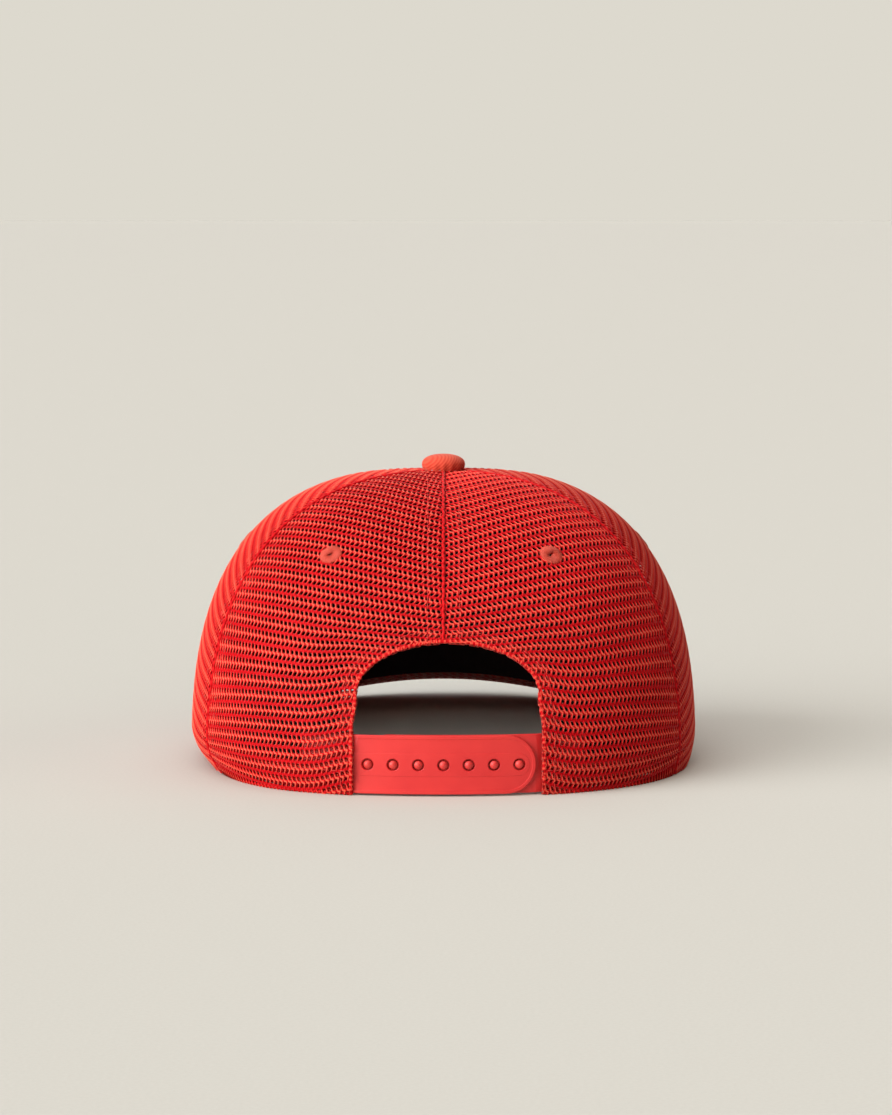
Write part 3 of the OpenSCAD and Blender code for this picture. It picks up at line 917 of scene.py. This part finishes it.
def arch_path(grow):
    """Points round the arch's outline, from the left foot over the top to the right foot."""
    a = np.linspace(0, math.pi, 200)
    leg = np.linspace(0.4, ARCH_LEG, 60)
    leg_x = arch_half(leg) + grow
    x = np.concatenate([leg_x, (ARCH_HALF_W + grow) * np.cos(a), -leg_x[::-1]]) + ARCH_X
    z = np.concatenate([leg, ARCH_LEG + (ARCH_RISE + grow) * np.sin(a), leg[::-1]])
    x, z = resample(np.stack([x, z], -1), FOLD_STEP).T
    az = azimuth_at(x, z)
    return wall_point(az, z), wall_normal(az, z)


def beats(count, step, pitch, drift=0.0, over=1.0):
    """The rhythm of the knit along an edge, from 0 to 1, with a slow drift."""
    along = np.arange(count) * step
    return 0.5 + 0.5 * np.cos(along * 2 * math.pi / pitch + drift * np.sin(along / over))


def edges():
    """Rolled mesh edges round the arch and along the rim, with their stitch rows."""
    points, normal = arch_path(0.62)
    beat = beats(len(points), FOLD_STEP, HOLE_PITCH, 0.8, 5.1)
    # Its rise, higher on each bump, is painted highlight on the fold.
    fold = tube("arch_fold", points - normal * 0.3, 0.5 + 0.26 * beat, 0.4 + 0.5 * beat, normal, 10)
    points, normal = arch_path(ARCH_STITCH)
    stitches("arch_stitch", points + normal * STITCH_RAISED, normal, pitch=2.8)
    for side, az_low, az_high in (("left", 19.5, 119.5), ("right", -119.5, -21.5)):
        az = np.radians(np.linspace(az_low, az_high, 500))
        base = resample(wall_point(az, rim_height(az) + 0.55), FOLD_STEP)
        az = np.arctan2(base[:, 0], base[:, 1])
        normal = wall_normal(az, base[:, 2])
        beat = beats(len(base), FOLD_STEP, HOLE_PITCH)
        # Its rise, higher on each bump, is painted highlight on the fold.
        tube("rim_fold_" + side, base - normal * 0.5, 0.48 + 0.1 * beat, 0.3 + 0.4 * beat, normal, 10)
        line = wall_point(az, rim_height(az) + RIM_STITCH_Z)
        normal = wall_normal(az, line[:, 2])
        stitches("rim_stitch_" + side, line + normal * STITCH_RAISED, normal)


def seam_ridges():
    """Turned-in edges of two panels, standing up a little along their seam."""
    for side, az_deg, low in (("rear", 0, ARCH_LEG + ARCH_RISE + 1), ("left", 60, 0.6), ("right", 300, 0.6)):
        az = math.radians(az_deg)
        path = resample(wall_point(az, heights_up_to(low, 0.05, 400)), RIDGE_STEP)
        normal = wall_normal(az, path[:, 2])
        beat = beats(len(path), RIDGE_STEP, ROW_PITCH, 1.3, 7.3)
        sway = unit(np.cross(normal, np.gradient(path, axis=0)))
        swing = 0.16 * np.sin(np.arange(len(path)) * RIDGE_STEP * math.pi / ROW_PITCH)
        path = path + sway * swing[:, None] + normal * 0.06
        # Its rise, higher on each bump, is painted highlight on the ridge.
        tube("seam_ridge_" + side, path, 0.46 + 0.08 * beat, 0.45 + 0.25 * beat, normal)


edges()
seam_ridges()


# ---- Eyelets and button ----


def eyelet(name, az_deg):
    """Buttonhole-stitched ring: many threads wrapped round a padded edge."""
    az = math.radians(az_deg)
    centre, normal = wall_point(az, EYELET_Z), wall_normal(az, EYELET_Z)
    east = unit(np.cross([0, 0, 1.0], normal))
    north = np.cross(normal, east)
    threads, steps, sides = 46, 4, 12
    n = threads * steps
    theta = np.linspace(0, 2 * math.pi, n, endpoint=False)
    phi = np.linspace(0, 2 * math.pi, sides, endpoint=False)
    hole = EYELET_HOLE * (1 + 2.2 * np.cos(theta - 0.6) ** 4)
    middle, half = (EYELET_R + hole) / 2, (EYELET_R - hole) / 2
    ridge = 1 + 0.13 * np.cos(theta * threads)
    ragged = 1 + 0.05 * np.sin(theta * 9 + 1.3) + 0.03 * np.sin(theta * 23)
    radial = middle[:, None] + (half * ridge * ragged)[:, None] * np.cos(phi)
    # The ring bends with the crown, whose radius there is about 85.
    height = 0.12 + 0.6 * ridge[:, None] * np.sin(phi) - radial**2 / (2 * 85)
    x, y = radial * np.cos(theta)[:, None], radial * np.sin(theta)[:, None]
    points = centre + x[..., None] * east + y[..., None] * north + height[..., None] * normal
    uv = np.stack([np.repeat(theta * threads / 6.28, sides), np.tile(phi, n)], -1)
    obj = make_object(name + "_ring", points, [hoop_faces(n, sides, True)[:, ::-1]], EYELET_THREAD, uv)
    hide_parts(name)


def button():
    """Domed cloth, gathered a little underneath."""
    low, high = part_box("button_cover")
    r, top, foot = (high.x - low.x) / 2 / MM, high.z / MM, low.z / MM - 0.5
    rows, around, waist = 40, 180, 0.44
    a = np.linspace(0, math.pi / 2 + 0.55, rows)
    profile_r = r * np.sin(a) ** 0.86
    profile_r[0] = 0
    bulge = foot + (top - foot) * waist
    drop = np.where(a < math.pi / 2, top - bulge, (bulge - foot) * 1.9)
    z = np.maximum(bulge + drop * np.cos(a), foot - 0.2)
    theta = np.linspace(0, 2 * math.pi, around, endpoint=False)
    folds = np.cos(theta * 14 + 0.7 * np.sin(theta * 3))
    rr = profile_r[:, None] * (1 + 0.02 * smooth((a - 1.1) / 0.8)[:, None] * folds)
    points = np.stack([rr * np.sin(theta), rr * np.cos(theta), np.broadcast_to(z[:, None], rr.shape)], -1)
    uv = np.stack([points[..., 0], points[..., 1] * 0.4 + points[..., 2]], -1)
    obj = make_object("button_cloth_cover", points, [hoop_faces(rows, around)[:, ::-1]], BUTTON_CLOTH, uv)
    disc = BUTTON_DISC * MM
    CUTS[obj.name] = (disc, disc), math.pi * disc**2 / 4
    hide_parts("button_cover")


for where, az in EYELETS.items():
    eyelet("eyelet_" + where, az)
button()


# ---- Brim ----


def brim_grid(nu, v, lift):
    """Points of the brim from its root (v = 0) to its edge (v = 1), raised by lift."""
    turn = np.linspace(-1, 1, nu)
    az = np.radians(180 + BRIM_ARC * turn)
    a = np.radians(90 * turn)
    root = wall_point(az, rim_height(az), 0.2)
    root[:, 2] = rim_height(az) + 0.1
    power = 2 / BRIM_POWER
    x = -np.sign(np.sin(a)) * BRIM_HALF_W * np.abs(np.sin(a)) ** power
    y = -BRIM_ROOT_Y - (BRIM_FRONT - BRIM_ROOT_Y) * np.maximum(np.cos(a), 0) ** power
    bow = np.cos(math.pi / 2 * np.minimum(1, np.abs(x) / BRIM_FLAT_X)) ** 2
    edge = np.stack([x, y, 0.5 + (BRIM_EDGE_Z - 0.5) * bow], -1)
    points = root[:, None] + (edge - root)[:, None] * np.asarray(v)[None, :, None]
    return points + np.array([0, 0, lift])


def brim_covers(nu=140):
    """Cloth over and under the board, and the edge where it is turned in."""
    v = 1 - (1 - np.linspace(0, 1, 36)) ** 1.25
    top = brim_grid(nu, v, BRIM_T)
    lower = brim_grid(nu, v, BRIM_T - BRIM_COVER_T)
    uv = top[..., :2]
    cloth("brim_top_cloth", lower[:, ::-1], top[:, ::-1], TWILL, "brim_top_cover", top,
          uv[:, ::-1])
    low = brim_grid(nu, v, 0.0)
    cloth("brim_under_cloth", low, brim_grid(nu, v, BRIM_COVER_T), UNDER_TWILL, "brim_under_cover",
          low, uv)
    inner, under, over = (brim_grid(nu, [share], lift)[:, 0]
                          for share, lift in ((0.97, 0.0), (1.0, 0.0), (1.0, BRIM_T)))
    out = unit((under - inner) * [1, 1, 0])
    phi = np.linspace(-math.pi / 2, math.pi / 2, 12)
    rise = BRIM_T / 2 * np.sin(phi)[:, None] * [0, 0, 1.0]
    middle = ((under + over) / 2)[:, None] + rise
    rolled = middle + out[:, None] * (BRIM_FOLD_R * np.cos(phi))[:, None]
    fold_uv = np.stack(np.broadcast_arrays(np.arange(nu)[:, None] * 3.0, phi * 3), -1)
    cloth("brim_edge_cloth", rolled, middle - out[:, None] * 0.3, TWILL, "brim_edge_fold",
          rolled, fold_uv)


def brim_stitches():
    """Rows of stitches that keep their distance from the brim's outer edge."""
    for k in range(BRIM_ROWS):
        for side, lift, up in (("top", BRIM_T, 1.0), ("under", 0.0, -1.0)):
            root, edge = np.moveaxis(brim_grid(260, [0.0, 1.0], lift), 1, 0)
            run = np.linalg.norm(edge - root, axis=1)
            share = 1 - (BRIM_ROW_FIRST + BRIM_ROW_STEP * k) / np.maximum(run, 1e-6)
            line = (root + (edge - root) * share[:, None])[share > 0.04]
            normal = np.broadcast_to([0, 0, up], line.shape)
            stitches(f"brim_stitch_{side}_{k}", line, normal, pitch=3.2, length=2.6)


brim_covers()
brim_stitches()


# ---- Snap strap ----


def strap_outline(start_x, end_x, inset=0.0, half_h=STRAP_H / 2):
    """Outline from start_x to a round end at end_x, in the strap's own flat plane."""
    way = 1 if start_x > end_x else -1
    half = half_h - inset
    a = np.linspace(math.pi / 2, 3 * math.pi / 2, 49)
    end = np.stack([end_x + way * (half + inset) + way * half * np.cos(a), half * np.sin(a)], -1)
    start = start_x - way * inset
    return np.concatenate([[[start, half]], end, [[start, -half]]])


def peg_holes(d):
    a = np.linspace(0, 2 * math.pi, 40, endpoint=False)
    middle = (PEG_COUNT - 1) / 2
    return [np.stack([(k - middle) * PEG_PITCH + d / 2 * np.cos(a), d / 2 * np.sin(a)], -1)
            for k in range(PEG_COUNT)]


def plate(outlines, thickness, bevel):
    """Flat plate in x and z with holes and rounded edges, as a bmesh about y = 0."""
    curve = bpy.data.curves.new("plate", "CURVE")
    curve.dimensions = "2D"
    curve.fill_mode = "BOTH"
    curve.extrude = thickness / 2 - bevel
    curve.bevel_depth = bevel
    curve.bevel_resolution = 3
    curve.offset = -bevel
    for outline in outlines:
        spline = curve.splines.new("POLY")
        spline.points.add(len(outline) - 1)
        for point, (x, z) in zip(spline.points, outline):
            point.co = (x, z, 0, 1)
        spline.use_cyclic_u = True
    holder = bpy.data.objects.new("plate", curve)
    bpy.context.scene.collection.objects.link(holder)
    bpy.context.view_layer.update()
    mesh = bpy.data.meshes.new_from_object(holder.evaluated_get(bpy.context.evaluated_depsgraph_get()))
    bpy.data.objects.remove(holder)
    bpy.data.curves.remove(curve)
    bm = bmesh.new()
    bm.from_mesh(mesh)
    bpy.data.meshes.remove(mesh)
    bmesh.ops.remove_doubles(bm, verts=bm.verts, dist=1e-4)
    return bm


def strap_piece(name, outlines, thickness, bevel, bend, centre_off=0.0):
    """Plate bent to the strap's curve; bend(x, z) gives the mid-face's y."""
    bm = plate(outlines, thickness, bevel)
    xs = [v.co.x for v in bm.verts]
    step = 1.5
    for x in np.arange(min(xs) + step, max(xs), step):
        geom = bm.verts[:] + bm.edges[:] + bm.faces[:]
        bmesh.ops.bisect_plane(bm, geom=geom, dist=1e-5, plane_co=(x, 0, 0), plane_no=(1, 0, 0))
    x, z, deep = np.array([v.co[:] for v in bm.verts]).T
    y = bend(x, z)
    slope = (bend(x + 0.05, z) - bend(x - 0.05, z)) / 0.1
    off = (deep + centre_off) / np.sqrt(1 + slope**2)
    for v, p in zip(bm.verts, to_world(np.stack([x - off * slope, y + off, z + STRAP_MID], -1))):
        v.co = p
    bmesh.ops.recalc_face_normals(bm, faces=bm.faces)
    mesh = bpy.data.meshes.new(name)
    bm.to_mesh(mesh)
    bm.free()
    uv = mesh.uv_layers.new(name="UVMap")
    for loop in mesh.loops:
        uv.data[loop.index].uv = (x[loop.vertex_index], z[loop.vertex_index])
    obj = link_object(name, mesh, STRAP_PLASTIC)
    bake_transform(obj)
    return obj


def strap_bend(x, z, back, past_pivot, hidden_off):
    """The strap's mid-face, back behind the outer face, is an arc between the pivots,
    and past its own pivot it lies against the inside of the crown."""
    r = STRAP_BEND_R - back + STRAP_T / 2
    arc = STRAP_FACE_Y - back - (r - np.sqrt(np.maximum(0, r * r - x * x)))
    az = azimuth_at(x, z + STRAP_MID)
    hidden = (wall_point(az, z + STRAP_MID) + wall_normal(az, z + STRAP_MID) * hidden_off)[..., 1]
    return arc + (hidden - arc) * smooth(past_pivot / 5)


def outer_bend(x, z):
    return strap_bend(x, z, STRAP_T / 2, x - LEFT_PIVOT_X, -2.3)


def inner_bend(x, z):
    return strap_bend(x, z, STRAP_T * 1.5 + STRAP_GAP, RIGHT_PIVOT_X - x, -3.9)


def hinge_blend(body, *xs):
    """Gives the cap, the strap's body and two places on either side of its pivot."""
    start, end = (tuple(to_world([x, STRAP_FACE_Y - PIVOT_IN, STRAP_MID])) for x in xs)
    return "cap", body, start, end


def straps():
    left = hinge_blend("outer_strap", LEFT_PIVOT_X + STRAP_TURN, LEFT_PIVOT_X - STRAP_TURN)
    right = hinge_blend("inner_strap", RIGHT_PIVOT_X - STRAP_TURN, RIGHT_PIVOT_X + STRAP_TURN)
    on_face = STRAP_T / 2 - 0.02
    band = strap_piece("hole_strap_band", [strap_outline(ROOT_REACH, HOLE_STRAP_END)] + peg_holes(HOLE_D),
                       STRAP_T, 0.22, outer_bend)
    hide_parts("hole_strap", "strap_root_left")
    lip = [strap_outline(ROOT_REACH, HOLE_STRAP_END, 0.15),
           strap_outline(ROOT_REACH - 1, HOLE_STRAP_END, 1.25)]
    strap_piece("hole_strap_lip", lip, 0.34, 0.14, outer_bend, on_face)
    rail = [strap_outline(ROOT_REACH - 2, HOLE_STRAP_END + 2.2, half_h=RAIL_HALF_H)] + peg_holes(HOLE_D + 0.3)
    strap_piece("hole_strap_rail", rail, 0.26, 0.11, outer_bend, on_face)
    band = strap_piece("peg_strap_band", [strap_outline(-ROOT_REACH, PEG_STRAP_END)],
                       STRAP_T, 0.22, inner_bend)
    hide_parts("peg_strap", "strap_root_right")


straps()


# ---- Floor, light and camera ----


FLOOR_R = 40.0
BACKDROP_H = 14.0
PAPER = (184, 183, 176), (189, 188, 181)
BACKDROP = srgb(221, 217, 206)
WARM = (1.0, 0.84, 0.7)
SUN_SPREAD = math.radians(60)

CAMERA_DISTANCE = 1.3097
CAMERA_LIFT = math.radians(6.5948)
CAMERA_TARGET_Z = 0.045
CAMERA_AIM_Z = 0.07065
LENS = 119.36
SENSOR = 36.0
SHIFT_X = 0.00224


def ring_wall(name, rings, material, sides=96):
    """Surface of revolution about Z through rings of (radius, height), for the stage."""
    a = np.linspace(0, 2 * math.pi, sides, endpoint=False)
    verts = [(r * math.cos(t), r * math.sin(t), z) for r, z in rings for t in a]
    mesh = bpy.data.meshes.new(name)
    mesh.from_pydata(verts, [], hoop_faces(len(rings), sides).tolist())
    obj = link_object(name, mesh, material)
    return obj


def studio():
    """Paper floor, and a pale backdrop all round that gives and stops no light."""
    n = Nodes("floor_paper", 0.9, specular=0.2)
    n.shade(n.noise(900.0, 2.0), 0.2, 0.8, *PAPER)
    floor = ring_wall("floor", [(0.0005, 0.0), (0.5, 0.0), (4.0, 0.0), (FLOOR_R, 0.0)], n.mat)
    n = Nodes("backdrop_paper", 1.0, specular=0.0)
    n.fill(n.shader, {"Base Color": (0, 0, 0, 1), "Emission Color": BACKDROP, "Emission Strength": 1.0})
    back = ring_wall("backdrop", [(FLOOR_R - 0.1, -0.2), (FLOOR_R - 0.1, BACKDROP_H)], n.mat)
    for ray in ("diffuse", "glossy", "shadow", "transmission", "volume_scatter"):
        setattr(back, "visible_" + ray, False)
    return floor


def aim(obj, towards, forward):
    """Turns a lamp or camera so that its forward axis points one way, and links it."""
    obj.rotation_mode = "QUATERNION"
    obj.rotation_quaternion = Vector(towards).to_track_quat(forward, "Y")
    bpy.context.scene.collection.objects.link(obj)


def lights(floor):
    """A faint sky, four suns on everything, and two on the floor alone. Each sun's
    direction points from the cap to the light."""
    paper = bpy.data.collections.new("paper")
    paper.objects.link(floor)
    world = bpy.data.worlds.new("studio")
    world.use_nodes = True
    sky = world.node_tree.nodes["Background"].inputs
    sky["Color"].default_value = (1.0, 0.95, 0.9, 1)
    sky["Strength"].default_value = 0.05
    bpy.context.scene.world = world
    for name, towards, strength in (
        ("side", (0.85, 0.52, 0.25), 3.9),
        ("key", (0.55, 0.5, 0.67), 1.6),
        ("top", (0.0, 0.1, 1.0), 0.8),
        ("back", (0.0, -0.62, 0.74), 0.8),
        ("floor_right", (-1.0, 0.3, 0.25), 1.05),
        ("floor_front", (0.0, 1.0, 0.2), 2.8),
    ):
        data = bpy.data.lights.new(name, "SUN")
        data.energy = strength
        data.angle = SUN_SPREAD
        obj = bpy.data.objects.new(name, data)
        if name.startswith("floor"):
            data.color = WARM
            obj.light_linking.receiver_collection = paper
        aim(obj, towards, "Z")
    bpy.context.scene.view_settings.view_transform = "Standard"


def camera():
    """Straight behind the cap, a little above it."""
    data = bpy.data.cameras.new("camera")
    data.sensor_fit = "AUTO"
    data.sensor_width = SENSOR
    data.lens = LENS
    data.shift_x = SHIFT_X
    data.clip_start = 0.05
    data.clip_end = 50
    obj = bpy.data.objects.new("camera", data)
    level, up = CAMERA_DISTANCE * math.cos(CAMERA_LIFT), CAMERA_DISTANCE * math.sin(CAMERA_LIFT)
    obj.location = (0, AXIS_Y * MM + level, CAMERA_TARGET_Z + up)
    aim(obj, (0, -level, CAMERA_AIM_Z - CAMERA_TARGET_Z - up), "-Z")
    bpy.context.scene.camera = obj


lights(studio())
camera()


# ---- Cloth ----


def declare_cloth():
    """Lists each cloth piece with how it is held, what holds it, and what is on it; the list is not used."""
    on_top, on_under = ([f"brim_stitch_{side}_{k}" for k in range(BRIM_ROWS)] for side in ("top", "under"))
    rows = [
        ("front_lining_cloth", "stretched", ["seam_tape_front_left", "seam_tape_front_right"], []),
        ("sweatband_cloth_band", "stretched", ["rim_hem_left", "rim_hem_right"], []),
        ("brim_top_cloth", "stretched", ["brim_board"], ["brim_edge_cloth"] + on_top),
        ("brim_under_cloth", "stretched", ["brim_board"], on_under),
        ("button_cloth_cover", "stretched", ["button_core"], []),
    ]
    for side in ("left", "right"):
        front_tape, side_tape = "seam_tape_front_" + side, "seam_tape_side_" + side
        rows += [
            (f"rear_mesh_{side}_knit", "stretched", ["seam_tape_rear", side_tape],
             [f"eyelet_rear_{side}_ring"]),
            (f"side_mesh_{side}_knit", "stretched", [side_tape, front_tape], [f"eyelet_side_{side}_ring"]),
            (f"front_{side}_cloth", "stretched", ["seam_tape_front", front_tape],
             [f"eyelet_front_{side}_ring"]),
            ("arch_and_rim_hem_" + side, "folded", ["rear_mesh_" + side], ["rim_fold_" + side]),
            ("side_rim_hem_" + side, "folded", ["side_mesh_" + side], ["rim_stitch_" + side]),
        ]
    rows += [(f"seam_tape_{name}_cloth", "laid", [], [f"seam_stitch_{name}_{row}_inside" for row in "ab"])
             for name in ("front", "front_left", "front_right", "side_left", "side_right", "rear")]


declare_cloth()
